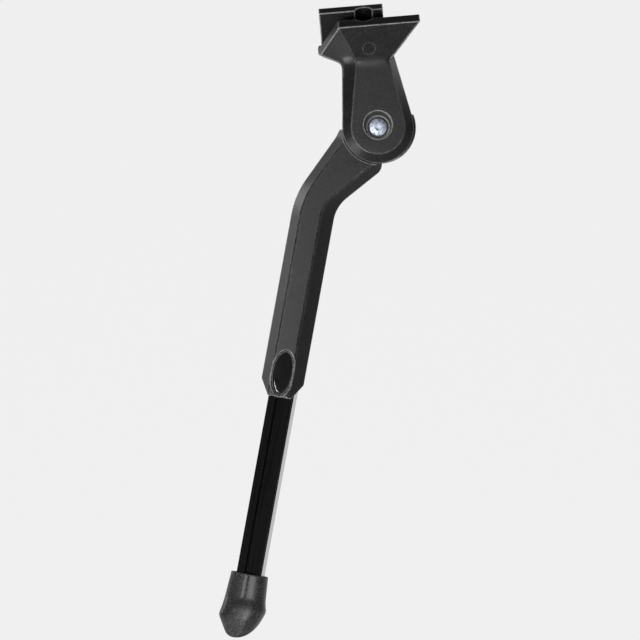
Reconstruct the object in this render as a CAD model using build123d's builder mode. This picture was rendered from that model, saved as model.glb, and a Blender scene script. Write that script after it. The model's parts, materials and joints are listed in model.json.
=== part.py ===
"""Bicycle kickstand: a frame bracket, a cast folding leg and a sliding lower bar with a rubber foot.

The origin lies on the axis of the mounting thread, at its mouth in the floor of the saddle groove.
X runs along the bicycle towards its rear, Z is up, and the leg stands out on the -Y side.
"""
import os
from math import cos, radians, sin, tan

from build123d import *

os.makedirs("parts", exist_ok=True)

# Fits and clearances
running_fit = 0.05
press_fit = 0.02
slide_fit = 0.25
free_gap = 0.45
stop_play = 0.3

# Saddle that presses against the frame
front_land = 9.0
groove_width = 11.8
rear_land = 6.5
groove_depth = 17.2
groove_floor = 3.9
front_jaw_left = -13.0
front_jaw_right = 27.6
rear_jaw_left = -22.2
rear_jaw_right = 9.8
jaw_end_rake = 0.61
wing_tip_x = -24.1
wing_tip_rise = 38.9
wing_root_rise = 34.2
wing_root_x = -14.5
rear_jaw_height = 24.0
bolt_slot_width = 8.4
bolt_slot_front = 3.0
bolt_slot_rear = 4.0
thread_radius = 4.0
thread_length = 11.0
ring_mark_radius = 3.4
ring_mark_width = 0.45
ring_mark_depth = 0.25
ring_mark_x = 1.3
ring_mark_drop = 12.5

# Pivot axis, stem and clevis
axis_tilt = 24.0
pivot_x = 2.6
pivot_drop = 55.0
waist_rise = 33.5
lobe_radius = 17.85
lobe_bevel_run = 4.45
lobe_bevel_depth = 3.5
stem_left = -15.0
stem_right = 10.3
stem_face_left = -7.7
stem_face_right = 7.7
flare_right = 9.15
stem_overlap = 4.0
waist_round = 12.0
flank_round = 9.0
front_cheek = 7.0
rear_cheek = 6.0
clevis_gap = 13.2
rear_lobe_shift = 1.2
rear_bevel = 1.5

# Pivot hardware
screw_radius = 3.0
screw_clearance = 0.1
screw_head_radius = 4.25
screw_head_height = 3.0
screw_dome_radius = 8.0
screw_socket_flats = 3.0
screw_socket_depth = 1.8
screw_end = 0.8
screw_recess_radius = 6.9
screw_recess_depth = 1.2
screw_recess_rise = 1.1
washer_radius = 5.1
washer_thickness = 1.0
washer_recess_radius = 5.3
nut_flats = 10.0
nut_height = 5.0
nut_pocket_depth = 4.5
nut_clearance = 0.1
nut_edge = 0.6
sleeve_radius = 5.5
bush_wall = 0.95
bush_length = 5.2
bush_flange_radius = 9.0
bush_flange = 0.8
bush_side_play = 0.1

# Detent between bracket and knuckle
knuckle_radius = 14.0
knuckle_gap = 0.35
detent_depth = 0.6
plunger_radius = 4.0
plunger_length = 6.5
plunger_tip_chamfer = 0.6
plunger_cup_radius = 2.9
plunger_cup_depth = 3.8
detent_spring_radius = 2.2
detent_spring_wire = 0.9
detent_spring_turns = 4
detent_bore_length = 12.9
wire_sides = 6
coil_steps = 12

# Folding leg, measured in its own plane from the pivot
leg_lean = 15.0
fold_angle = 105.0
shoulder_front = 178.0
shoulder_rear = 272.0
shoulder_radius = 19.2
neck_side_gap = 0.3
neck_front = (-19.8, -8.5)
neck_rear = (6.0, -20.1)
face_neck_front = (-14.9, -8.0)
face_neck_rear = (1.2, -18.3)
face_shoulder_radius = 13.6
neck_front_round = 12.0
neck_rear_round = 6.0
face_neck_round = 1.5
leg_axis = 24.2
shank_width = 21.35
face_left_bevel = 4.45
face_width = 10.3
shank_end = 141.4
bend_front = 40.5
bend_rear = 42.5
bend_front_round = 44.0
bend_rear_round = 18.0
face_rear_round = 16.0
leg_front = 8.5
leg_back = 10.6
flank_front = 2.0
face_ledge = 0.4
face_step = 0.3
back_chamfer = 2.5
end_chamfer_length = 8.0
end_chamfer_left = 4.6
end_chamfer_right = 5.1

# Lower bar, its T slot and its guide in the leg
bar_width = 12.9
bar_depth = 9.0
bar_turn = 11.0
bar_axis = 22.8
bar_setback = 2.6
bar_edge = 0.6
bar_top = 86.0
bar_bottom = 250.0
slot_mouth = 5.2
slot_lip = 1.4
slot_cavity_width = 8.2
slot_cavity_depth = 3.2
back_groove_depth = 1.0
socket_top = 46.0
guide_start = 106.0
guide_step = 0.5
cap_height = 8.0
cap_spigot_length = 9.0
cap_spigot_fit = 0.1

# Length lock in the leg
button_centre = 129.2
button_length = 20.6
button_width = 8.8
button_rim = 0.2
button_dome = 0.7
button_crown_along = 110.0
button_crown_across = 30.0
button_travel = 1.2
button_play = 0.1
dish_margin = 1.2
dish_depth = 0.8
button_web = 1.0
shoe_width = 7.4
shoe_length = 14.0
shoe_thickness = 1.6
shoe_play = 0.05
shoe_stem_width = 3.4
shoe_stem_length = 7.0
shoe_stem_seat = 1.2
button_spring_spread = 6.6
button_spring_radius = 1.1
button_spring_wire = 0.45
button_spring_turns = 3
button_spring_hole = 1.55
button_spring_seat = 1.6

# Rubber foot, each section with its distance from the pivot, its reach to the left, right, front and back
# of the bar's axis, and its corners
foot_top = 231.0
foot_fit = 0.05
foot_sections = (
    (foot_top, 8.35, 8.35, 6.7, 6.7, 2.4),
    (244.5, 9.25, 8.5, 7.3, 7.2, 2.6),
    (251.5, 10.95, 9.95, 8.7, 8.0, 3.2),
    (259.5, 7.0, 4.2, 9.1, 6.5, 2.2),
    (266.0, 3.8, -0.8, 9.2, 3.6, 0.9),
)
sole_drop = 258.8

# Values worked out from the sizes above
tilt = radians(axis_tilt)
lean = radians(leg_lean)
turn = radians(bar_turn)
half_groove = groove_width / 2
half_gap = clevis_gap / 2
cheek_front = half_gap + front_cheek
cheek_back = half_gap + rear_cheek
front_face_y = -half_groove - front_land
rear_face_y = half_groove + rear_land
pivot_reach = waist_rise * sin(tilt) - cheek_front * cos(tilt) - front_face_y
pivot_plane = Plane(
    origin=(pivot_x, -pivot_reach, groove_depth - pivot_drop),
    x_dir=(1, 0, 0),
    z_dir=(0, -cos(tilt), sin(tilt)),
)
leg_plane = Plane(
    origin=pivot_plane.origin,
    x_dir=pivot_plane.x_dir * cos(lean) - pivot_plane.y_dir * sin(lean),
    z_dir=pivot_plane.z_dir,
)
bar_plane = Plane(
    origin=leg_plane.from_local_coords((-bar_axis, 0, -bar_setback)),
    x_dir=leg_plane.x_dir * cos(turn) + leg_plane.z_dir * sin(turn),
    z_dir=leg_plane.z_dir * cos(turn) - leg_plane.x_dir * sin(turn),
)
pivot_axis = Axis(pivot_plane.origin, pivot_plane.z_dir)
stem_axis = Axis(pivot_plane.origin, pivot_plane.y_dir)
reach = 4 * pivot_drop
slot_cavity_middle = bar_depth / 2 - slot_lip - slot_cavity_depth / 2


def side_point(rise, depth):
    """Y and Z of a point at this height above the pivot and this depth towards the front."""
    point = pivot_plane.from_local_coords((0, rise, depth))
    return point.Y, point.Z


def polar(radius, angle):
    """Point in the plane of a sketch at this radius and angle."""
    return radius * cos(radians(angle)), radius * sin(radians(angle))


def square_to(plane, height):
    """Plane square to a plane's y direction, at this height along it, with the plane's front at -y."""
    return Plane(origin=plane.from_local_coords((0, height, 0)), x_dir=plane.x_dir, z_dir=plane.y_dir)


def coil_spring(base, length, radius, wire, turns):
    """Coil spring of this free length that stands on a plane, with its wire in short straight steps."""
    steps = turns * coil_steps
    climb = (length - wire) / steps
    step_angle = 360 / coil_steps
    with BuildPart() as spring:
        for step in range(steps + 1):
            out_x, out_y = polar(1, step * step_angle)
            outward = base.x_dir * out_x + base.y_dir * out_y
            onward = base.y_dir * out_x - base.x_dir * out_y
            section = Plane(
                origin=base.offset(wire / 2 + step * climb).origin + outward * radius,
                x_dir=outward,
                z_dir=onward * radius * radians(step_angle) + base.z_dir * climb,
            )
            with BuildSketch(section):
                RegularPolygon(wire / 2, wire_sides)
        loft(ruled=True)
    return spring


# Frame bracket, one casting: saddle, stem and clevis
waist_front = side_point(waist_rise, cheek_front)
waist_back = side_point(waist_rise, -cheek_back)
jaw_front_rise = (pivot_reach + front_face_y) * sin(tilt) + pivot_drop * cos(tilt)
stem_top = waist_rise + stem_overlap
rake_drop = (front_jaw_left - wing_tip_x) / jaw_end_rake
with BuildPart() as frame_bracket:
    with BuildSketch(Plane.YZ):
        with BuildLine():
            Polyline(
                (front_face_y, groove_depth),
                waist_front,
                waist_back,
                (rear_face_y, groove_depth - rear_jaw_height),
                (rear_face_y, groove_depth),
                close=True,
            )
        make_face()
    extrude(amount=reach, both=True)

    with BuildSketch(pivot_plane):
        with BuildLine():
            Polyline(
                (stem_left, waist_rise),
                (wing_root_x - pivot_x, wing_root_rise),
                (wing_tip_x - pivot_x, wing_tip_rise),
                (wing_tip_x - pivot_x, reach),
                (front_jaw_right - pivot_x, reach),
                (front_jaw_right - pivot_x, jaw_front_rise),
                (flare_right, waist_rise),
                close=True,
            )
        make_face()
    extrude(amount=reach, both=True, mode=Mode.INTERSECT)

    # Left flank of the saddle flare, a plane through three points of the front
    flare_top = Vector(front_jaw_left, front_face_y, groove_depth)
    flare_waist = pivot_plane.from_local_coords((stem_face_left, waist_rise, cheek_front))
    flare_side = pivot_plane.from_local_coords((stem_left, waist_rise, cheek_front - lobe_bevel_depth))
    flare_normal = (flare_side - flare_top).cross(flare_waist - flare_top)
    with BuildSketch(Plane(origin=flare_top, x_dir=flare_waist - flare_top, z_dir=flare_normal)):
        Rectangle(reach, reach)
    extrude(amount=reach, mode=Mode.SUBTRACT)

    # Groove between the jaws, the jaw ends and the slot that lets the frame bolt stand anywhere across
    with BuildSketch(Plane.YZ):
        with BuildLine():
            Polyline(
                (-half_groove, groove_depth),
                (half_groove - groove_floor, 0),
                (half_groove, 0),
                (half_groove, groove_depth),
                close=True,
            )
        make_face()
    extrude(amount=reach, both=True, mode=Mode.SUBTRACT)
    with BuildSketch(Plane.XZ.offset(-half_groove)):
        with BuildLine():
            Polyline(
                (front_jaw_left, groove_depth),
                (wing_tip_x, groove_depth - rake_drop),
                (wing_tip_x, groove_depth),
                close=True,
            )
        make_face()
    extrude(amount=reach, mode=Mode.SUBTRACT)
    with Locations((rear_jaw_left - reach / 2, half_groove + reach / 2, 0)):
        Box(reach, reach, reach, mode=Mode.SUBTRACT)
    with Locations((rear_jaw_right + reach / 2, half_groove + reach / 2, 0)):
        Box(reach, reach, reach, mode=Mode.SUBTRACT)
    slot_length = groove_width + bolt_slot_front + bolt_slot_rear
    with BuildSketch(Plane.XY):
        with Locations((0, (bolt_slot_rear - bolt_slot_front) / 2)):
            SlotOverall(slot_length, bolt_slot_width, rotation=90)
    extrude(amount=groove_depth, mode=Mode.SUBTRACT)

    # Stem and lobes, with a sloping edge all round the front and a small one round the back
    outlines = (
        (-cheek_back, lobe_radius - rear_bevel, stem_left + rear_bevel, stem_right - rear_bevel),
        (rear_bevel - cheek_back, lobe_radius, stem_left, stem_right),
        (cheek_front - lobe_bevel_depth, lobe_radius, stem_left, stem_right),
        (cheek_front, lobe_radius - lobe_bevel_run, stem_face_left, stem_face_right),
    )
    for pair in zip(outlines, outlines[1:]):
        for height, radius, left, right in pair:
            with BuildSketch(pivot_plane.offset(height)):
                with BuildLine():
                    Line((left, stem_top), (right, stem_top))
                    CenterArc((0, 0), radius, 0, 360)
                make_hull()
        loft(ruled=True)

    # Bends between the flared saddle and the stem, in front and on the left flank
    waist_middle = ((stem_face_left + stem_face_right) / 2, waist_rise, cheek_front)
    fillet(frame_bracket.edges().sort_by_distance(pivot_plane.from_local_coords(waist_middle))[0], waist_round)
    fillet(frame_bracket.edges().sort_by_distance((flare_waist + flare_side) / 2)[0], flank_round)

    # Round pad on the rear cheek, where the leg swings past
    swing = [polar(reach, angle) for angle in (shoulder_front, 225, 270, 315, shoulder_rear + fold_angle)]
    with BuildSketch(pivot_plane.offset(-half_gap)):
        with Locations((rear_lobe_shift, 0)):
            Circle(lobe_radius)
        with BuildLine():
            Polyline((0, 0), *swing, close=True)
        make_face(mode=Mode.INTERSECT)
    extrude(amount=rear_bevel - rear_cheek)

    # Clevis gap, open on the side the leg swings through, with its two ends as the stops
    with BuildSketch(pivot_plane):
        Circle(knuckle_radius + knuckle_gap)
        with BuildLine():
            Polyline((0, 0), *swing, close=True)
        make_face()
    extrude(amount=half_gap, both=True, mode=Mode.SUBTRACT)

    # Screw, washer, nut, detent and mounting thread
    with BuildSketch(pivot_plane.offset(cheek_front)):
        with Locations((0, screw_recess_rise)):
            Circle(screw_recess_radius)
    extrude(amount=-screw_recess_depth, mode=Mode.SUBTRACT)
    with BuildSketch(pivot_plane.offset(cheek_front)):
        Circle(washer_recess_radius)
    extrude(amount=-(screw_head_height + washer_thickness), mode=Mode.SUBTRACT)
    with BuildSketch(pivot_plane):
        Circle(screw_radius + screw_clearance)
    extrude(amount=reach, both=True, mode=Mode.SUBTRACT)
    with BuildSketch(pivot_plane.offset(-cheek_back)):
        RegularPolygon(nut_flats / 2 + nut_clearance, 6, major_radius=False)
    extrude(amount=nut_pocket_depth, mode=Mode.SUBTRACT)
    with BuildSketch(square_to(pivot_plane, knuckle_radius - detent_depth)):
        Circle(plunger_radius + running_fit)
    extrude(amount=detent_depth + detent_bore_length, mode=Mode.SUBTRACT)
    with BuildSketch(Plane.XY):
        Circle(thread_radius)
    extrude(amount=-thread_length, mode=Mode.SUBTRACT)
    with BuildSketch(Plane.XZ.offset(-front_face_y)):
        with Locations((ring_mark_x, groove_depth - ring_mark_drop)):
            Circle(ring_mark_radius)
            Circle(ring_mark_radius - ring_mark_width, mode=Mode.SUBTRACT)
    extrude(amount=-ring_mark_depth, mode=Mode.SUBTRACT)
frame_bracket.part.label = "frame_bracket"
export_step(frame_bracket.part, "parts/frame_bracket.step")

# Pivot screw with a domed head
screw_seat = cheek_front - screw_head_height
nut_seat = nut_pocket_depth - cheek_back
with BuildPart() as pivot_screw:
    with BuildSketch(pivot_plane.offset(screw_seat)):
        Circle(screw_head_radius)
    extrude(amount=screw_head_height)
    with Locations(pivot_plane.offset(cheek_front - screw_dome_radius)):
        Sphere(screw_dome_radius, mode=Mode.INTERSECT)
    with BuildSketch(pivot_plane.offset(screw_seat)):
        Circle(screw_radius)
    extrude(amount=nut_seat - nut_height - screw_end - screw_seat)
    with BuildSketch(pivot_plane.offset(cheek_front)):
        RegularPolygon(screw_socket_flats / 2, 6, major_radius=False)
    extrude(amount=-screw_socket_depth, mode=Mode.SUBTRACT)
pivot_screw.part.label = "pivot_screw"
export_step(pivot_screw.part, "parts/pivot_screw.step")

with BuildPart() as screw_washer:
    with BuildSketch(pivot_plane.offset(screw_seat)):
        Circle(washer_radius)
        Circle(screw_radius + screw_clearance, mode=Mode.SUBTRACT)
    extrude(amount=-washer_thickness)
screw_washer.part.label = "screw_washer"
export_step(screw_washer.part, "parts/screw_washer.step")

with BuildPart() as pivot_nut:
    with BuildSketch(pivot_plane.offset(nut_seat)):
        RegularPolygon(nut_flats / 2, 6, major_radius=False)
    extrude(amount=-nut_height)
    chamfer(pivot_nut.faces().sort_by(pivot_axis)[0].edges(), nut_edge)
    with BuildSketch(pivot_plane.offset(nut_seat)):
        Circle(screw_radius + press_fit)
    extrude(amount=-nut_height, mode=Mode.SUBTRACT)
pivot_nut.part.label = "pivot_nut"
export_step(pivot_nut.part, "parts/pivot_nut.step")

with BuildPart() as pivot_sleeve:
    with BuildSketch(pivot_plane):
        Circle(sleeve_radius)
        Circle(screw_radius + screw_clearance, mode=Mode.SUBTRACT)
    extrude(amount=half_gap, both=True)
pivot_sleeve.part.label = "pivot_sleeve"
export_step(pivot_sleeve.part, "parts/pivot_sleeve.step")

# Flanged bushes pressed into the knuckle from both sides
knuckle_half = half_gap - bush_flange - bush_side_play
bush_radius = sleeve_radius + running_fit + bush_wall
for bush_name, facing in (("front_bush", 1), ("rear_bush", -1)):
    bush_plane = Plane(
        origin=pivot_plane.origin, x_dir=pivot_plane.x_dir, z_dir=pivot_plane.z_dir * facing
    ).offset(knuckle_half)
    with BuildPart() as bush:
        with BuildSketch(bush_plane):
            Circle(bush_flange_radius)
        extrude(amount=bush_flange)
        with BuildSketch(bush_plane):
            Circle(bush_radius)
        extrude(amount=-bush_length)
        with BuildSketch(bush_plane):
            Circle(sleeve_radius + running_fit)
        extrude(amount=bush_length, both=True, mode=Mode.SUBTRACT)
    bush.part.label = bush_name
    export_step(bush.part, f"parts/{bush_name}.step")

# Detent plunger, drawn back clear of the knuckle, and its spring in the stem
plunger_tip = knuckle_radius + running_fit
detent_seat = plunger_tip + plunger_length - plunger_cup_depth
with BuildPart() as detent_plunger:
    with BuildSketch(square_to(pivot_plane, plunger_tip)):
        Circle(plunger_radius)
    extrude(amount=plunger_length)
    chamfer(detent_plunger.faces().sort_by(stem_axis)[0].edges(), plunger_tip_chamfer)
    with BuildSketch(square_to(pivot_plane, detent_seat)):
        Circle(plunger_cup_radius)
    extrude(amount=plunger_cup_depth, mode=Mode.SUBTRACT)
detent_plunger.part.label = "detent_plunger"
export_step(detent_plunger.part, "parts/detent_plunger.step")

detent_spring = coil_spring(
    square_to(pivot_plane, detent_seat),
    knuckle_radius + detent_bore_length - detent_seat,
    detent_spring_radius,
    detent_spring_wire,
    detent_spring_turns,
)
detent_spring.part.label = "detent_spring"
export_step(detent_spring.part, "parts/detent_spring.step")

# Upper leg, one casting: knuckle, bent neck and hollow shank
neck_half = half_gap - neck_side_gap
leg_left = -leg_axis - shank_width / 2
leg_right = -leg_axis + shank_width / 2
face_left = leg_left + face_left_bevel
face_right = face_left + face_width
front_stop = shoulder_front + leg_lean + stop_play
rear_stop = shoulder_rear + leg_lean - stop_play
knuckle_root = knuckle_radius - knuckle_gap
flank_outline = (
    polar(knuckle_root, front_stop),
    polar(shoulder_radius, front_stop),
    neck_front,
    (leg_left, -bend_front),
    (leg_left, -shank_end),
    (leg_right, -shank_end),
    (leg_right, -bend_rear),
    neck_rear,
    polar(knuckle_root, rear_stop),
)
face_outline = (
    polar(knuckle_root - face_left_bevel, front_stop),
    polar(face_shoulder_radius, front_stop),
    face_neck_front,
    (face_left, -bend_front),
    (face_left, -shank_end),
    (face_right, -shank_end),
    (face_right, -bend_rear),
    face_neck_rear,
    polar(knuckle_root - face_left_bevel, rear_stop),
)
flank_rounds = (0, 0, neck_front_round, bend_front_round, 0, 0, bend_rear_round, neck_rear_round, 0)
face_rounds = (0, 0, neck_front_round, bend_front_round, 0, 0, face_rear_round, face_neck_round, 0)
socket_width = bar_width + 2 * slide_fit
socket_depth = bar_depth + 2 * slide_fit
socket_edge = bar_edge + slide_fit
button_x = -bar_axis - (leg_front + bar_setback) * tan(turn)
pocket_right = button_x + button_width / 2 + slide_fit
socket_front = -bar_setback + (pocket_right + bar_axis) * tan(turn) + socket_depth / 2 / cos(turn)
pocket_floor = socket_front + button_web
stem_x = -bar_axis - (bar_depth - slot_lip) / 2 * sin(turn)
with BuildPart() as upper_leg:
    with BuildSketch(leg_plane.offset(-leg_back)):
        with BuildLine():
            FilletPolyline(*flank_outline, radius=flank_rounds, close=True)
        make_face()
    extrude(amount=leg_back + flank_front)
    chamfer(upper_leg.faces().sort_by(pivot_axis)[0].edges(), back_chamfer)
    with BuildSketch(leg_plane.offset(flank_front)):
        with BuildLine():
            FilletPolyline(*flank_outline, radius=flank_rounds, close=True)
        make_face()
    with BuildSketch(leg_plane.offset(leg_front)):
        with BuildLine():
            FilletPolyline(*face_outline, radius=face_rounds, close=True)
        make_face()
    loft(ruled=True)

    # Ledge along the edges of the face, which leaves the face raised
    with BuildSketch(leg_plane.offset(leg_front)):
        Rectangle(reach, 2 * reach)
        with BuildLine():
            FilletPolyline(*face_outline, radius=face_rounds, close=True)
            offset(amount=-face_ledge)
        make_face(mode=Mode.SUBTRACT)
    extrude(amount=-face_step, mode=Mode.SUBTRACT)

    # Room for the bush flanges and the two cheeks, and the corners taken off the lower end
    for side in (1, -1):
        with BuildSketch(leg_plane.offset(side * knuckle_half)):
            Circle(bush_flange_radius + free_gap)
        extrude(amount=side * reach, mode=Mode.SUBTRACT)
    with BuildSketch(leg_plane.offset(neck_half)):
        Circle(lobe_radius + free_gap)
    extrude(amount=reach, mode=Mode.SUBTRACT)
    with BuildSketch(leg_plane.offset(-neck_half)):
        Circle(lobe_radius + rear_lobe_shift + free_gap)
    extrude(amount=-reach, mode=Mode.SUBTRACT)
    with BuildSketch(leg_plane):
        for side, run in ((leg_left, end_chamfer_left), (leg_right, -end_chamfer_right)):
            with BuildLine():
                Polyline(
                    (side, end_chamfer_length - shank_end),
                    (side + run, -shank_end),
                    (side, -shank_end),
                    close=True,
                )
            make_face()
    extrude(amount=reach, both=True, mode=Mode.SUBTRACT)

    # Knuckle with a flat for the detent at each end of the swing
    with BuildSketch(leg_plane):
        Circle(knuckle_radius)
        for angle in (90 + leg_lean, 90 + leg_lean - fold_angle):
            with Locations(polar(knuckle_radius, angle)):
                Rectangle(2 * detent_depth, knuckle_radius, rotation=angle, mode=Mode.SUBTRACT)
    extrude(amount=knuckle_half, both=True)
    with BuildSketch(leg_plane):
        Circle(bush_radius + press_fit)
    extrude(amount=knuckle_half, both=True, mode=Mode.SUBTRACT)

    # Socket for the bar, wider above the guide so that the end cap stops there
    with BuildSketch(square_to(bar_plane, -shank_end)):
        RectangleRounded(socket_width, socket_depth, socket_edge)
    extrude(amount=shank_end - socket_top, mode=Mode.SUBTRACT)
    with BuildSketch(square_to(bar_plane, -guide_start)):
        RectangleRounded(socket_width + 2 * guide_step, socket_depth + 2 * guide_step, socket_edge + guide_step)
    extrude(amount=guide_start - socket_top, mode=Mode.SUBTRACT)

    # Dish and pocket of the button, and the slot that its stem passes through
    with BuildSketch(leg_plane.offset(leg_front - dish_depth)):
        with Locations((button_x, -button_centre)):
            Ellipse(button_width / 2 + dish_margin, button_length / 2 + dish_margin)
    extrude(amount=dish_depth, mode=Mode.SUBTRACT)
    with BuildSketch(leg_plane.offset(pocket_floor)):
        with Locations((button_x, -button_centre)):
            Ellipse(button_width / 2 + slide_fit, button_length / 2 + slide_fit)
    extrude(amount=leg_front - pocket_floor, mode=Mode.SUBTRACT)
    with BuildSketch(leg_plane.offset(pocket_floor)):
        with Locations((stem_x, -button_centre)):
            Rectangle(shoe_stem_width + 2 * slide_fit, shoe_stem_length + 2 * slide_fit)
    extrude(amount=-bar_depth / 2, mode=Mode.SUBTRACT)
upper_leg.part.label = "upper_leg"
export_step(upper_leg.part, "parts/upper_leg.step")

# Release button, crowned both ways, on two springs
button_under = pocket_floor + button_travel + button_play
button_top = leg_front - dish_depth + button_rim + button_dome
crown_side = button_top - button_crown_across + (button_crown_across**2 - button_width**2 / 4) ** 0.5
crown_axis = button_top - button_crown_along
spring_ends = (-button_centre + button_spring_spread, -button_centre - button_spring_spread)
with BuildPart() as release_button:
    with BuildSketch(leg_plane.offset(button_under)):
        with Locations((button_x, -button_centre)):
            Ellipse(button_width / 2, button_length / 2)
    extrude(amount=button_top - button_under)
    with BuildSketch(square_to(leg_plane, -button_centre)):
        with BuildLine():
            button_left = button_x - button_width / 2
            button_right = button_x + button_width / 2
            ThreePointArc((button_left, -crown_side), (button_x, -button_top), (button_right, -crown_side))
            Polyline(
                (button_right, -crown_side),
                (button_right, -crown_axis),
                (button_left, -crown_axis),
                (button_left, -crown_side),
            )
        make_face()
    crown_centre = leg_plane.from_local_coords((button_x, -button_centre, crown_axis))
    revolve(axis=Axis(crown_centre, leg_plane.x_dir), mode=Mode.INTERSECT)
    with BuildSketch(leg_plane.offset(button_under)):
        with Locations((stem_x, -button_centre)):
            Rectangle(shoe_stem_width + 2 * press_fit, shoe_stem_length + 2 * press_fit)
    extrude(amount=shoe_stem_seat, mode=Mode.SUBTRACT)
    with BuildSketch(leg_plane.offset(button_under)):
        for height in spring_ends:
            with Locations((button_x, height)):
                Circle(button_spring_hole)
    extrude(amount=button_spring_seat, mode=Mode.SUBTRACT)
release_button.part.label = "release_button"
export_step(release_button.part, "parts/release_button.step")

for spring_name, height in zip(("upper_button_spring", "lower_button_spring"), spring_ends):
    seat = Plane(origin=leg_plane.from_local_coords((button_x, height, pocket_floor)), z_dir=leg_plane.z_dir)
    button_spring = coil_spring(
        seat,
        button_under + button_spring_seat - pocket_floor,
        button_spring_radius,
        button_spring_wire,
        button_spring_turns,
    )
    button_spring.part.label = spring_name
    export_step(button_spring.part, f"parts/{spring_name}.step")

# Lock shoe that the button presses clear of the lips of the T slot
shoe_top = bar_depth / 2 - slot_lip - shoe_play
stem_start = -bar_setback + (stem_x + bar_axis) * tan(turn) + (shoe_top - shoe_thickness / 2) / cos(turn)
with BuildPart() as lock_shoe:
    with BuildSketch(bar_plane.offset(shoe_top)):
        with Locations((0, -button_centre)):
            Rectangle(shoe_width, shoe_length)
    extrude(amount=-shoe_thickness)
    with BuildSketch(leg_plane.offset(stem_start)):
        with Locations((stem_x, -button_centre)):
            Rectangle(shoe_stem_width, shoe_stem_length)
    extrude(amount=button_under + shoe_stem_seat - stem_start)
lock_shoe.part.label = "lock_shoe"
export_step(lock_shoe.part, "parts/lock_shoe.step")

# Lower bar, an extrusion with a T slot down its front and a shallow groove down its back
with BuildPart() as lower_bar:
    with BuildSketch(square_to(bar_plane, -bar_bottom)):
        RectangleRounded(bar_width, bar_depth, bar_edge)
        with Locations((0, (slot_lip - bar_depth) / 2)):
            Rectangle(slot_mouth, slot_lip, mode=Mode.SUBTRACT)
        with Locations((0, -slot_cavity_middle)):
            Rectangle(slot_cavity_width, slot_cavity_depth, mode=Mode.SUBTRACT)
        with Locations((0, (bar_depth - back_groove_depth) / 2)):
            Rectangle(slot_mouth, back_groove_depth, mode=Mode.SUBTRACT)
    extrude(amount=bar_bottom - bar_top)
lower_bar.part.label = "lower_bar"
export_step(lower_bar.part, "parts/lower_bar.step")

with BuildPart() as bar_end_cap:
    with BuildSketch(square_to(bar_plane, -bar_top)):
        RectangleRounded(bar_width + 2 * guide_step, bar_depth + 2 * guide_step, bar_edge + guide_step)
    extrude(amount=cap_height)
    with BuildSketch(square_to(bar_plane, -bar_top)):
        with Locations((0, -slot_cavity_middle)):
            Rectangle(slot_cavity_width - 2 * cap_spigot_fit, slot_cavity_depth - 2 * cap_spigot_fit)
    extrude(amount=-cap_spigot_length)
bar_end_cap.part.label = "bar_end_cap"
export_step(bar_end_cap.part, "parts/bar_end_cap.step")

# Rubber foot, a flared boot over the end of the bar with a sole that lies level with the ground
with BuildPart() as rubber_foot:
    for drop, left, right, front, back, corner in foot_sections:
        with BuildSketch(square_to(bar_plane, -drop)) as outline:
            with Locations(((right - left) / 2, (back - front) / 2)):
                Rectangle(left + right, front + back)
            chamfer(outline.vertices(), corner)
    loft(ruled=True)
    with BuildSketch(Plane(bar_plane.from_local_coords((0, -sole_drop, 0)))):
        Rectangle(reach, reach)
    extrude(amount=-reach, mode=Mode.SUBTRACT)
    with BuildSketch(square_to(bar_plane, -bar_bottom)):
        RectangleRounded(bar_width + 2 * foot_fit, bar_depth + 2 * foot_fit, bar_edge + foot_fit)
    extrude(amount=bar_bottom - foot_top, mode=Mode.SUBTRACT)
rubber_foot.part.label = "rubber_foot"
export_step(rubber_foot.part, "parts/rubber_foot.step")
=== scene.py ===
"""Looks of the bicycle kickstand: finishes, edges, floor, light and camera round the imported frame."""
import json
from math import cos, exp, log, pi, radians, sin, tan

import bmesh
import bpy
from mathutils import Matrix, Vector


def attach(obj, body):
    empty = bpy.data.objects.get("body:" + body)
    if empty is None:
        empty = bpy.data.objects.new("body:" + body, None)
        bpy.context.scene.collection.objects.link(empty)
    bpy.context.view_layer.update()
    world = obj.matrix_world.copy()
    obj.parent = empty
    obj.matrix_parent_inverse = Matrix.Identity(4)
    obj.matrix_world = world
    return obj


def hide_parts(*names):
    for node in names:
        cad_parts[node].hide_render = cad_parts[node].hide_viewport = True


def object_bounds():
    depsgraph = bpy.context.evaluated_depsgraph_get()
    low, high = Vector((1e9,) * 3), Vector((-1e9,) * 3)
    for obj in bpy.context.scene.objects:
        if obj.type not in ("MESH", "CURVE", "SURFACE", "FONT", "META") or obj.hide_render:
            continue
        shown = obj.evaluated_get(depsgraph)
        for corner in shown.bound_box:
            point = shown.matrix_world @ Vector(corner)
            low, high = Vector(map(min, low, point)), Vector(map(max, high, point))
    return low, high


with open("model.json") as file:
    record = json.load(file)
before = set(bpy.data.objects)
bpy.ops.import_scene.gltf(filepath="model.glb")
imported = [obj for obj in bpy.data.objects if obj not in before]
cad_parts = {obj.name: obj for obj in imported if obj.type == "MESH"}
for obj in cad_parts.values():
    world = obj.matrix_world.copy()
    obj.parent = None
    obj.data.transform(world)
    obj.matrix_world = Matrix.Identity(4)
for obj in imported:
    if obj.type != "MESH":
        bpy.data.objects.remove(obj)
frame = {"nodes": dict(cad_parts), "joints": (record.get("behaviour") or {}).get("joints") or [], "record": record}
cad_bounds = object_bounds()

# The photograph's frame: its size, the size of a pixel at the pivot, and where the pivot screw is seen
photo_size = 640
pixel = 0.0005
pivot_pixel = (378.0, 127.7)
photo_roll = radians(4.7)
camera_distance = 4.0
camera_reach = 100.0
sensor_width = 36.0

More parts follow.
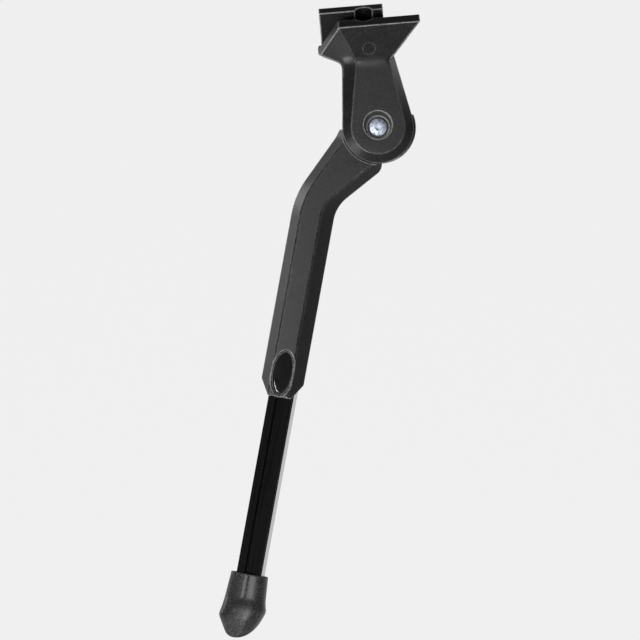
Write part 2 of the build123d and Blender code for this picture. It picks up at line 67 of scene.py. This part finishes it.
# Directions of the object: towards the viewer along the pivot, up the stem, and down the leg
joints = {joint["name"]: joint for joint in frame["joints"]}
pivot = Vector(joints["leg_fold"]["pos_m"])
forward = Vector(joints["leg_fold"]["axis"]).normalized()
rearward = Vector((1, 0, 0))
stem_up = forward.cross(rearward)
leg_down = Vector(joints["leg_length"]["axis"]).normalized()
leg_across = forward.cross(leg_down)
bar_turn = radians(11.0)
bar_left = 0.0228
bar_back = 0.0026
bar_side = leg_across * cos(bar_turn) + forward * sin(bar_turn)
bar_front = forward * cos(bar_turn) - leg_across * sin(bar_turn)
bar_origin = pivot - leg_across * bar_left - forward * bar_back
picture_right = rearward * cos(photo_roll) - stem_up * sin(photo_roll)
picture_up = rearward * sin(photo_roll) + stem_up * cos(photo_roll)

# Edge rounding of the solids, in metres
edge_rounds = {
    "pivot_screw": 0.0002,
    "screw_washer": 0.00012,
    "pivot_nut": 0.0002,
}
edge_segments = 3
edge_angle = radians(24)
weld_distance = 0.000002

# Castings with soft edges: size of a cell in metres, smoothing passes and share of faces kept
smooth_factor = 0.5
soft_castings = {
    "frame_bracket": (0.0002, 5, 0.15),
    "upper_leg": (0.00028, 3, 0.2),
}

# Waist of the bracket, eased into the saddle: heights above the pivot, left edge and its gap, right limit
waist_heights = (0.026, 0.030, 0.034, 0.0365)
waist_left_edge = -0.0088
waist_edge_gap = (0.0006, 0.0025)
waist_right = (0.006, 0.0085)
waist_passes = 300

# Rubber boot along the bar: distance from the pivot, reach to the left, right, front and back, in metres
boot_sections = (
    (0.2310, 0.00965, 0.00890, 0.0068, 0.0068),
    (0.2440, 0.01060, 0.00990, 0.0072, 0.0072),
    (0.2460, 0.01075, 0.01040, 0.0080, 0.0073),
    (0.2485, 0.01110, 0.01110, 0.0085, 0.0078),
    (0.2535, 0.01210, 0.00930, 0.0087, 0.0078),
    (0.2595, 0.00850, 0.00680, 0.0078, 0.0062),
    (0.2670, 0.00460, 0.00380, 0.0067, 0.0036),
)
boot_ease = 0.0012
boot_ease_offsets = (-1.0, -0.5, 0.0, 0.5, 1.0)
boot_square = 2.6
boot_points = 144
boot_step = 0.0005
boot_rim = 0.0005
boot_sole_drop = 0.2600
boot_sole_round = 0.0012
boot_sole_deep = 30
boot_rim_turns = (0.0, 0.25, 0.5, 0.75, 1.0)
bar_half = (0.0065, 0.00455)
bar_square = 12.0
bar_bottom = 0.250
seam_end = 0.2445
seam_width = 0.0004
seam_depth = 0.0003

# Gloss button in its dish: place and size in the leg's plane, from the pivot
button_place = (-0.02496, 0.1292)
button_half = (0.0044, 0.0103)
button_floor = 0.0062
button_top = 0.0085
button_edge = 0.0007
button_edge_steps = 8
button_step = 0.00006
button_points = 96

# Ring mark on the saddle's front: middle, radius, radius of its bead, how deep that sits, levelled bed
ring_middle = Vector((0.0013, -0.0149, 0.0047))
ring_radius = 0.003175
ring_round = 0.00022
ring_sunk = 0.00006
ring_bed = (0.0046, 0.0056)
ring_steps = 96
ring_sides = 16

# Grain of the finishes: features a metre, and the noise values over which tone, flecks and roughness change
slow_grain = 120.0
tone_range = (0.35, 0.65)
fleck_range = (0.46, 0.7)
rough_range = (0.3, 0.7)

# Lighter convex edges of the coat, partly edge wear and partly painted highlight: how far from an edge it reaches
# in metres, the occlusion of an edge, and its patches
wear_and_highlight_reach = 0.0007
wear_and_highlight_samples = 8
wear_and_highlight_range = (1.0, 0.95)
patch_grain = 700.0
patch_range = (0.35, 0.6)
patch_least = 0.4

# Bar: how squarely and how far out a face lies to count as a bright side, and its black
side_facing = (0.9, 0.95)
side_reach = (0.0058, 0.006)
bar_black = (0.003, 0.003, 0.003)
bar_gloss = 0.04
bar_rough = (0.16, 0.28)

# Drawn lines of the bright sides: features a metre, tones, stretch along the bar and added roughness
drawn_grain = 2500.0
drawn_dark = (0.5, 0.49, 0.5)
drawn_light = (0.7, 0.68, 0.69)
drawn_stretch = 0.99
drawn_haze = 0.18

# Background, room and floor
paper_grey = 0.855
room_light = 0.1
shadow_share = 0.08
floor_drop = 0.45
floor_size = 14.0


def new_material(name):
    """An empty material with one principled shader, and its node tree."""
    material = bpy.data.materials.new(name)
    material.use_nodes = True
    tree = material.node_tree
    return material, tree, tree.nodes["Principled BSDF"]


def add_node(tree, kind, links=None, settings=None, **values):
    """A node with its settings, its input values by name and its inputs linked to other nodes' outputs."""
    made = tree.nodes.new(kind)
    for name, value in (settings or {}).items():
        setattr(made, name, value)
    for name, value in values.items():
        made.inputs[name.replace("_", " ")].default_value = value
    for name, output in (links or {}).items():
        tree.links.new(output, made.inputs[name])
    return made


def noise(tree, coordinates, scale, detail=3.0, roughness=0.6):
    """Noise texture at this many features a metre."""
    return add_node(
        tree, "ShaderNodeTexNoise", {"Vector": coordinates}, Scale=scale, Detail=detail, Roughness=roughness
    )


def ramp(tree, value, low, high, dark, light):
    """Colour that goes from dark to light grey as the value goes from low to high."""
    made = add_node(tree, "ShaderNodeValToRGB", {"Fac": value})
    made.color_ramp.elements[0].position = low
    made.color_ramp.elements[1].position = high
    made.color_ramp.elements[0].color = (*dark, 1)
    made.color_ramp.elements[1].color = (*light, 1)
    return made.outputs["Color"]


def spread(tree, value, low, high, to_low, to_high):
    """Number that goes from to_low to to_high as the value goes from low to high."""
    made = add_node(tree, "ShaderNodeMapRange", {"Value": value})
    for name, number in (("From Min", low), ("From Max", high), ("To Min", to_low), ("To Max", to_high)):
        made.inputs[name].default_value = number
    return made.outputs["Result"]


def toned(tree, tone, other, share):
    """Colour that goes over to another one by this share."""
    blend = add_node(tree, "ShaderNodeMix", {"Factor": share}, {"data_type": "RGBA"})
    tree.links.new(tone, blend.inputs[6])
    blend.inputs[7].default_value = (*other, 1)
    return blend.outputs[2]


def grained(
    name, dark, light, roughness, grain, depth, strength, metallic=0.0, gloss_level=0.5, fleck=None, wear_and_highlight=None
):
    """Finish with a fine grain, a slow change of tone, light flecks on the grain, and convex edges lightened to a
    tone, partly as edge wear and partly as painted highlight.
    """
    material, tree, shader = new_material(name)
    coordinates = add_node(tree, "ShaderNodeTexCoord").outputs["Object"]
    fine = noise(tree, coordinates, grain, 4.0, 0.65)
    slow = noise(tree, coordinates, slow_grain, 2.0)
    bump = add_node(
        tree, "ShaderNodeBump", {"Height": fine.outputs["Fac"]}, Strength=strength, Distance=depth
    )
    tone = ramp(tree, slow.outputs["Fac"], *tone_range, dark, light)
    if fleck:
        tone = toned(tree, tone, fleck, spread(tree, fine.outputs["Fac"], *fleck_range, 0.0, 1.0))
    # Convex edges found by occlusion go lighter: partly edge wear, partly painted highlight.
    if wear_and_highlight:
        edge = add_node(
            tree, "ShaderNodeAmbientOcclusion", None,
            {"inside": True, "only_local": True, "samples": wear_and_highlight_samples}, Distance=wear_and_highlight_reach,
        )
        patchy = noise(tree, coordinates, patch_grain, 3.0)
        rubbed_and_highlit = add_node(
            tree, "ShaderNodeMath",
            {0: spread(tree, edge.outputs["AO"], *wear_and_highlight_range, 0.0, 1.0),
             1: spread(tree, patchy.outputs["Fac"], *patch_range, patch_least, 1.0)},
            {"operation": "MULTIPLY"},
        )
        tone = toned(tree, tone, wear_and_highlight, rubbed_and_highlit.outputs["Value"])
    tree.links.new(tone, shader.inputs["Base Color"])
    tree.links.new(spread(tree, fine.outputs["Fac"], *rough_range, *roughness), shader.inputs["Roughness"])
    tree.links.new(bump.outputs["Normal"], shader.inputs["Normal"])
    shader.inputs["Metallic"].default_value = metallic
    shader.inputs["Specular IOR Level"].default_value = gloss_level
    return material


def grey(level):
    """Neutral tone of this level."""
    return (level, level, level)


coat_look = {
    "dark": grey(0.002), "light": grey(0.004), "roughness": (0.32, 0.44),
    "grain": 1500.0, "depth": 0.0001, "strength": 0.4, "gloss_level": 0.19, "fleck": grey(0.02),
}
# The coat's convex edges go lighter: partly edge wear, partly painted highlight.
coat = grained("coated_casting", **coat_look, wear_and_highlight=grey(0.25))
# Coat for the ring mark: its bead's edges go a little lighter, a painted highlight.
highlit_ring_coat = grained("highlit_ring_coat", **coat_look, wear_and_highlight=grey(0.06))
zinc = grained(
    "zinc_steel", dark=(0.56, 0.61, 0.7), light=(0.66, 0.7, 0.77), roughness=(0.5, 0.85),
    grain=800.0, depth=0.00012, strength=0.6, metallic=1.0, fleck=(0.1, 0.13, 0.2),
)
steel = grained(
    "plain_steel", dark=grey(0.48), light=grey(0.56), roughness=(0.25, 0.4),
    grain=1500.0, depth=0.00002, strength=0.2, metallic=1.0,
)
wire = grained(
    "spring_wire", dark=grey(0.34), light=grey(0.42), roughness=(0.25, 0.4),
    grain=2400.0, depth=0.00002, strength=0.2, metallic=1.0,
)
plastic = grained(
    "bearing_plastic", dark=grey(0.05), light=grey(0.07), roughness=(0.45, 0.6),
    grain=1800.0, depth=0.00005, strength=0.2,
)
gloss = grained(
    "gloss_button", dark=grey(0.006), light=grey(0.01), roughness=(0.01, 0.03),
    grain=900.0, depth=0.00001, strength=0.02,
)
rubber = grained(
    "foot_rubber", dark=grey(0.006), light=grey(0.012), roughness=(0.32, 0.42),
    grain=1900.0, depth=0.0001, strength=0.7, gloss_level=0.3, fleck=grey(0.1),
)


def anodised_bar():
    """Black anodised bar with bright drawn sides, which are told by each face's place and direction."""
    material, tree, shader = new_material("anodised_bar")
    texture = add_node(tree, "ShaderNodeTexCoord")
    facing = add_node(
        tree, "ShaderNodeVectorMath", {0: texture.outputs["Normal"]}, {"operation": "DOT_PRODUCT"}
    )
    facing.inputs[1].default_value = bar_side
    sideways = add_node(tree, "ShaderNodeMath", {0: facing.outputs["Value"]}, {"operation": "ABSOLUTE"})
    inward = add_node(
        tree, "ShaderNodeVectorMath", {0: texture.outputs["Object"]}, {"operation": "SUBTRACT"}
    )
    inward.inputs[1].default_value = bar_origin
    across = add_node(
        tree, "ShaderNodeVectorMath", {0: inward.outputs["Vector"]}, {"operation": "DOT_PRODUCT"}
    )
    across.inputs[1].default_value = bar_side
    reach = add_node(tree, "ShaderNodeMath", {0: across.outputs["Value"]}, {"operation": "ABSOLUTE"})
    both = add_node(
        tree, "ShaderNodeMath",
        {0: spread(tree, sideways.outputs["Value"], *side_facing, 0.0, 1.0),
         1: spread(tree, reach.outputs["Value"], *side_reach, 0.0, 1.0)},
        {"operation": "MULTIPLY"},
    )
    bright = both.outputs["Value"]
    along = add_node(
        tree, "ShaderNodeVectorMath", {0: inward.outputs["Vector"]}, {"operation": "DOT_PRODUCT"}
    )
    along.inputs[1].default_value = leg_down * drawn_stretch
    pulled = add_node(tree, "ShaderNodeVectorMath", {"Scale": along.outputs["Value"]}, {"operation": "SCALE"})
    pulled.inputs[0].default_value = leg_down
    drawn = add_node(
        tree, "ShaderNodeVectorMath", {0: inward.outputs["Vector"], 1: pulled.outputs["Vector"]},
        {"operation": "SUBTRACT"},
    )
    lines = noise(tree, drawn.outputs["Vector"], drawn_grain, 2.0)
    metal = ramp(tree, lines.outputs["Fac"], *tone_range, drawn_dark, drawn_light)
    tone = add_node(tree, "ShaderNodeMix", {"Factor": bright}, {"data_type": "RGBA"})
    tone.inputs[6].default_value = (*bar_black, 1)
    tree.links.new(metal, tone.inputs[7])
    tree.links.new(tone.outputs[2], shader.inputs["Base Color"])
    tree.links.new(bright, shader.inputs["Metallic"])
    drag = add_node(
        tree, "ShaderNodeMath", {0: bright, 2: spread(tree, lines.outputs["Fac"], *rough_range, *bar_rough)},
        {"operation": "MULTIPLY_ADD"},
    )
    drag.inputs[1].default_value = drawn_haze
    tree.links.new(drag.outputs["Value"], shader.inputs["Roughness"])
    shader.inputs["Specular IOR Level"].default_value = bar_gloss
    return material


finishes = {
    "coated_casting": coat,
    "zinc_steel": zinc,
    "plain_steel": steel,
    "spring_wire": wire,
    "bearing_plastic": plastic,
    "gloss_button": gloss,
    "anodised_bar": anodised_bar(),
    "foot_rubber": rubber,
}
for subpart in frame["record"]["subparts"]:
    piece = frame["nodes"][subpart["node"]]
    piece.data.materials.clear()
    piece.data.materials.append(finishes[subpart["material_slot"]])
frame["nodes"]["screw_washer"].data.materials[0] = grained(
    "shaded_washer", dark=grey(0.01), light=grey(0.02), roughness=(0.4, 0.6),
    grain=1500.0, depth=0.00002, strength=0.2,
)

for node_name, width in edge_rounds.items():
    piece = frame["nodes"][node_name]
    weld = piece.modifiers.new("weld", "WELD")
    weld.merge_threshold = weld_distance
    rounding = piece.modifiers.new("edges", "BEVEL")
    rounding.width = width
    rounding.segments = edge_segments
    rounding.limit_method = "ANGLE"
    rounding.angle_limit = edge_angle
    rounding.harden_normals = True
    rounding.use_clamp_overlap = True


def eased_waist():
    """Node group that smooths the bracket's skin at its waist and under the ring mark."""
    group = bpy.data.node_groups.new("eased_waist", "GeometryNodeTree")
    group.interface.new_socket("Geometry", in_out="INPUT", socket_type="NodeSocketGeometry")
    group.interface.new_socket("Geometry", in_out="OUTPUT", socket_type="NodeSocketGeometry")
    source = add_node(group, "NodeGroupInput")
    place = add_node(group, "GeometryNodeInputPosition").outputs["Position"]
    offset = add_node(group, "ShaderNodeVectorMath", {0: place}, {"operation": "SUBTRACT"})
    offset.inputs[1].default_value = pivot
    height = add_node(
        group, "ShaderNodeVectorMath", {0: offset.outputs["Vector"]}, {"operation": "DOT_PRODUCT"}
    )
    height.inputs[1].default_value = stem_up
    rear = add_node(group, "ShaderNodeSeparateXYZ", {"Vector": offset.outputs["Vector"]}).outputs["X"]
    gap = add_node(group, "ShaderNodeMath", {0: rear}, {"operation": "SUBTRACT"})
    gap.inputs[1].default_value = waist_left_edge
    clear = add_node(group, "ShaderNodeMath", {0: gap.outputs["Value"]}, {"operation": "ABSOLUTE"})
    weight = spread(group, height.outputs["Value"], *waist_heights[:2], 0.0, 1.0)
    for limit in (
        spread(group, height.outputs["Value"], *waist_heights[2:], 1.0, 0.0),
        spread(group, clear.outputs["Value"], *waist_edge_gap, 0.0, 1.0),
        spread(group, rear, *waist_right, 1.0, 0.0),
    ):
        weight = add_node(
            group, "ShaderNodeMath", {0: weight, 1: limit}, {"operation": "MULTIPLY"}
        ).outputs["Value"]
    away = add_node(group, "ShaderNodeVectorMath", {0: place}, {"operation": "DISTANCE"})
    away.inputs[1].default_value = ring_middle
    weight = add_node(
        group, "ShaderNodeMath", {0: weight, 1: spread(group, away.outputs["Value"], *ring_bed, 1.0, 0.0)},
        {"operation": "MAXIMUM"},
    ).outputs["Value"]
    blur = add_node(
        group, "GeometryNodeBlurAttribute", None, {"data_type": "FLOAT_VECTOR"}, Iterations=waist_passes
    )
    value = next(socket for socket in blur.inputs if socket.name == "Value" and socket.enabled)
    group.links.new(place, value)
    group.links.new(weight, blur.inputs["Weight"])
    eased = next(socket for socket in blur.outputs if socket.enabled)
    moved = add_node(
        group, "GeometryNodeSetPosition", {"Geometry": source.outputs["Geometry"], "Position": eased}
    )
    add_node(group, "NodeGroupOutput", {"Geometry": moved.outputs["Geometry"]})
    return group


for node_name, (cell, passes, kept_share) in soft_castings.items():
    piece = frame["nodes"][node_name]
    skin = piece.modifiers.new("skin", "REMESH")
    skin.mode = "VOXEL"
    skin.voxel_size = cell
    skin.use_smooth_shade = True
    ease = piece.modifiers.new("ease", "SMOOTH")
    ease.factor = smooth_factor
    ease.iterations = passes
    if node_name == "frame_bracket":
        waist = piece.modifiers.new("waist", "NODES")
        waist.node_group = eased_waist()
    thin = piece.modifiers.new("thin", "DECIMATE")
    thin.ratio = kept_share


def smooth_mesh(name, points, faces):
    """Mesh of these faces with its normals outward and smooth shading."""
    mesh = bpy.data.meshes.new(name)
    mesh.from_pydata(points, [], faces)
    shape = bmesh.new()
    shape.from_mesh(mesh)
    bmesh.ops.recalc_face_normals(shape, faces=shape.faces)
    shape.to_mesh(mesh)
    shape.free()
    for polygon in mesh.polygons:
        polygon.use_smooth = True
    return mesh


def closed_loft(name, points, count):
    """Smooth closed mesh through rings of this many points, with a cap on the first and the last."""
    faces = []
    for first in range(0, len(points) - count, count):
        for index in range(count):
            after = (index + 1) % count
            faces.append((first + index, first + after, first + count + after, first + count + index))
    faces.append(tuple(reversed(range(count))))
    faces.append(tuple(range(len(points) - count, len(points))))
    return smooth_mesh(name, points, faces)


def boot_reach(drop):
    """Reach of the boot to the left, right, front and back at this distance, eased between its sections."""
    total = [0.0] * 4
    for offset in boot_ease_offsets:
        place = min(max(drop + offset * boot_ease, boot_sections[0][0]), boot_sections[-1][0])
        for upper, lower in zip(boot_sections, boot_sections[1:]):
            if upper[0] <= place <= lower[0]:
                share = (place - upper[0]) / (lower[0] - upper[0])
                reach = [a + (b - a) * share for a, b in zip(upper[1:], lower[1:])]
                break
        total = [a + b / len(boot_ease_offsets) for a, b in zip(total, reach)]
    return total


def rounded_ring(drop, reach, squareness):
    """Points round the bar at this distance from the pivot, on an oval squared off by squareness."""
    left, right, front, back = reach
    points = []
    for index in range(boot_points):
        angle = 2 * pi * index / boot_points
        across = abs(cos(angle)) ** (2 / squareness) * (right if cos(angle) > 0 else -left)
        near = abs(sin(angle)) ** (2 / squareness) * (front if sin(angle) > 0 else -back)
        if near > 0 and drop < seam_end:
            near -= seam_depth * exp(-((across / seam_width) ** 2))
        points.append(bar_origin + leg_down * drop + bar_side * across + bar_front * near)
    return points


def on_sole(point):
    """The point, or where the boot's level sole stops it, with a round edge."""
    sole_z = (bar_origin + leg_down * boot_sole_drop).z
    under = (sole_z - point.z) / boot_sole_round
    lift = boot_sole_round * (under if under > boot_sole_deep else log(1 + exp(under)))
    return point - leg_down * (lift / -leg_down.z)


def boot_mesh():
    """Closed mesh of the boot: the hole for the bar, the rim, the flared side and the level sole."""
    hole = (bar_half[0], bar_half[0], bar_half[1], bar_half[1])
    top = boot_sections[0][0]
    rings = [rounded_ring(bar_bottom, hole, bar_square), rounded_ring(top + boot_rim, hole, bar_square)]
    for turn_share in boot_rim_turns:
        inset = boot_rim * (1 - sin(turn_share * pi / 2))
        sunk = boot_rim * (1 - cos(turn_share * pi / 2))
        rings.append(rounded_ring(top + sunk, [side - inset for side in boot_reach(top)], boot_square))
    steps = round((boot_sections[-1][0] - top - boot_rim) / boot_step)
    for step in range(1, steps + 1):
        drop = top + boot_rim + step * boot_step
        rings.append([on_sole(point) for point in rounded_ring(drop, boot_reach(drop), boot_square)])
    return closed_loft("boot", [point for ring in rings for point in ring], boot_points)


boot = bpy.data.objects.new("boot", boot_mesh())
boot.data.materials.append(rubber)
bpy.context.scene.collection.objects.link(boot)
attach(boot, "bar")
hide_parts("rubber_foot")


def button_mesh():
    """Closed mesh of the oval button: straight side, round edge and flat top."""
    middle = pivot + leg_across * button_place[0] + leg_down * button_place[1]
    levels = [(0.0, button_floor), (0.0, button_top - button_edge)]
    for step in range(1, button_edge_steps + 1):
        turn = step * pi / (2 * button_edge_steps)
        levels.append((button_edge * (1 - cos(turn)), button_top - button_edge * (1 - sin(turn))))
    levels.append((button_edge + button_step, button_top))
    points = []
    for inset, height in levels:
        for index in range(button_points):
            angle = 2 * pi * index / button_points
            across = (button_half[0] - inset) * cos(angle)
            down = (button_half[1] - inset) * sin(angle)
            points.append(middle + leg_across * across + leg_down * down + forward * height)
    return closed_loft("button", points, button_points)


button = bpy.data.objects.new("gloss_cap", button_mesh())
button.data.materials.append(gloss)
bpy.context.scene.collection.objects.link(button)
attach(button, "button")
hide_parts("release_button")


def ring_mesh():
    """Closed ring of round wire that stands a little out of the saddle's front."""
    points = []
    faces = []
    for step in range(ring_steps):
        turn = 2 * pi * step / ring_steps
        outward = Vector((cos(turn), 0, sin(turn)))
        for side in range(ring_sides):
            angle = 2 * pi * side / ring_sides
            reach = outward * (ring_radius + ring_round * cos(angle))
            points.append(ring_middle + reach + Vector((0, ring_sunk - ring_round * sin(angle), 0)))
            this, after = step * ring_sides, (step + 1) % ring_steps * ring_sides
            beside = (side + 1) % ring_sides
            faces.append((this + side, this + beside, after + beside, after + side))
    return smooth_mesh("ring_mark", points, faces)


ring_mark = bpy.data.objects.new("ring_mark", ring_mesh())
# The ring's lighter edges are a painted highlight on the bead.
ring_mark.data.materials.append(highlit_ring_coat)
bpy.context.scene.collection.objects.link(ring_mark)
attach(ring_mark, "bracket")


def stage_material(name, tone):
    """Paper that lights the object as a plain surface and shows an even tone with a faint shadow."""
    material, tree, shader = new_material(name)
    shader.inputs["Base Color"].default_value = (tone, tone, tone, 1)
    shader.inputs["Roughness"].default_value = 1.0
    path = add_node(tree, "ShaderNodeLightPath")
    seen = add_node(
        tree, "ShaderNodeMath", {0: path.outputs["Is Camera Ray"], 1: path.outputs["Is Glossy Ray"]},
        {"operation": "MAXIMUM"},
    )
    shown = add_node(
        tree, "ShaderNodeMath", {0: seen.outputs["Value"], 1: path.outputs["Is Transmission Ray"]},
        {"operation": "MAXIMUM"},
    )
    even = spread(tree, shown.outputs["Value"], 0.0, 1.0, 0.0, 1 - shadow_share)
    glow = add_node(tree, "ShaderNodeEmission")
    glow.inputs["Color"].default_value = (tone, tone, tone, 1)
    glow.inputs["Strength"].default_value = 1 / (1 - shadow_share)
    mix = add_node(
        tree, "ShaderNodeMixShader", {0: even, 1: shader.outputs["BSDF"], 2: glow.outputs["Emission"]}
    )
    tree.links.new(mix.outputs["Shader"], tree.nodes["Material Output"].inputs["Surface"])
    return material


floor_mesh = bpy.data.meshes.new("floor")
half = floor_size / 2
floor_z = cad_bounds[0].z - floor_drop
floor_mesh.from_pydata(
    [(-half, -half, floor_z), (half, -half, floor_z), (half, half, floor_z), (-half, half, floor_z)],
    [], [(0, 1, 2, 3)],
)
floor = bpy.data.objects.new("floor", floor_mesh)
floor.data.materials.append(stage_material("paper", paper_grey))
bpy.context.scene.collection.objects.link(floor)

# Light on the head and the shank: soft boxes in front, left and behind, low on the left, and on the right
head_height = 0.03
shank_left = 0.0242
shank_drop = 0.07
head = pivot + stem_up * head_height
shank = pivot - leg_across * shank_left + leg_down * shank_drop
narrow = 30.0


def soft_box(name, aim, direction, distance, size, radiance, spread_angle=180.0):
    """Area lamp that faces a point, from a direction told as right, up and towards the viewer."""
    right, up, near = direction
    outward = (picture_right * right + picture_up * up + forward * near).normalized()
    lamp = bpy.data.lights.new(name, "AREA")
    lamp.shape = "RECTANGLE"
    lamp.size, lamp.size_y = size
    lamp.spread = radians(spread_angle)
    half_spread = lamp.spread / 2
    lamp.energy = radiance * pi * size[0] * size[1] * (1 - half_spread / tan(half_spread))
    placed = bpy.data.objects.new(name, lamp)
    placed.location = aim + outward * distance
    placed.rotation_euler = outward.to_track_quat("Z", "Y").to_euler()
    bpy.context.scene.collection.objects.link(placed)


soft_box("front_box", shank, (-0.17, -0.16, 1.0), distance=1.5, size=(0.3, 0.3), radiance=57.0)
soft_box(
    "left_box", shank, (-0.86, 0.36, -0.36), distance=0.65, size=(0.3, 0.4), radiance=17.0, spread_angle=narrow
)
soft_box(
    "low_box", head, (-0.68, -0.58, 0.44), distance=0.9, size=(0.26, 0.26), radiance=52.0, spread_angle=narrow
)
soft_box(
    "right_box", head, (0.9, 0.38, -0.2), distance=0.9, size=(0.3, 0.3), radiance=17.0, spread_angle=narrow
)

world = bpy.data.worlds.new("room")
bpy.context.scene.world = world
world.use_nodes = True
room = world.node_tree.nodes["Background"]
room.inputs["Color"].default_value = (1, 1, 1, 1)
room.inputs["Strength"].default_value = room_light

# Camera along the pivot, rolled as the photograph is
centre = pivot
centre = centre + picture_right * (photo_size / 2 - pivot_pixel[0]) * pixel
centre = centre + picture_up * (pivot_pixel[1] - photo_size / 2) * pixel
lens = bpy.data.cameras.new("camera")
lens.sensor_width = sensor_width
lens.lens = sensor_width * camera_distance / (photo_size * pixel)
lens.clip_end = camera_reach
camera = bpy.data.objects.new("camera", lens)
camera.matrix_world = Matrix.Translation(centre + forward * camera_distance) @ Matrix(
    (picture_right, picture_up, forward)
).transposed().to_4x4()
bpy.context.scene.collection.objects.link(camera)
bpy.context.scene.camera = camera
bpy.context.scene.view_settings.view_transform = "Standard"
